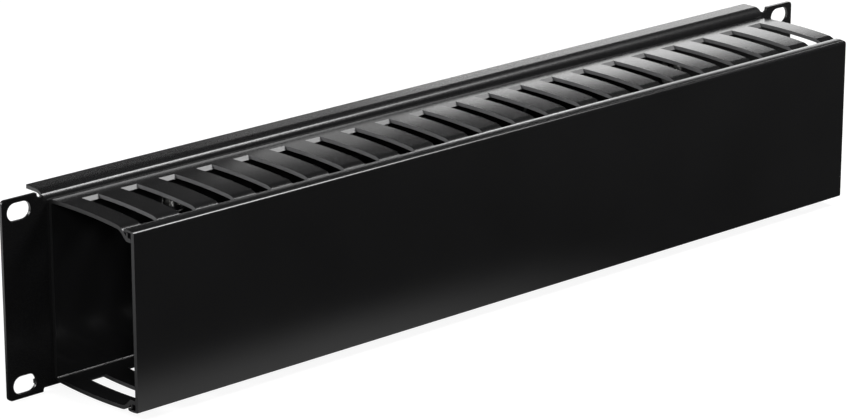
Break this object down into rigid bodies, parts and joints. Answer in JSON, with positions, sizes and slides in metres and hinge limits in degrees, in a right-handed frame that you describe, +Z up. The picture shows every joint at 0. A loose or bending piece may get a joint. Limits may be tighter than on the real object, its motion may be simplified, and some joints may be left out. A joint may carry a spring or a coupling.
{
  "type": "horizontal cable manager",
  "caption": "Two-unit horizontal rack cable manager: folded steel panel with slotted ears, slotted finger duct and press-on cover.",
  "frame": {"origin": "centre of the four rack slots, on the panel's rear face, which seats on the rack posts", "axes": "+X along the panel, -Y out of the rack towards the user, through the duct and its cover, +Z up"},
  "size_m": [0.4826, 0.0697, 0.0882],
  "materials": {
    "panel_paint": "satin black powder coat",
    "duct_plastic": "satin black extruded plastic",
    "cover_plastic": "satin black extruded plastic",
    "zinc_steel": "bright zinc plate"
  },
  "bodies": {
    "panel_and_duct": {"rack_panel": "panel_paint", "finger_duct": "duct_plastic", "screw_upper_left": "zinc_steel", "washer_upper_left": "zinc_steel", "lock_washer_upper_left": "zinc_steel", "nut_upper_left": "zinc_steel", "screw_upper_right": "zinc_steel", "washer_upper_right": "zinc_steel", "lock_washer_upper_right": "zinc_steel", "nut_upper_right": "zinc_steel", "screw_lower_left": "zinc_steel", "washer_lower_left": "zinc_steel", "lock_washer_lower_left": "zinc_steel", "nut_lower_left": "zinc_steel", "screw_lower_right": "zinc_steel", "washer_lower_right": "zinc_steel", "lock_washer_lower_right": "zinc_steel", "nut_lower_right": "zinc_steel"},
    "cover": {"duct_cover": "cover_plastic"}
  },
  "joints": [
    {"name": "cover_pull", "type": "slide", "parent": "panel_and_duct", "child": "cover", "axis": [0, -1, 0], "range_m": [0, 0.06]}
  ]
}
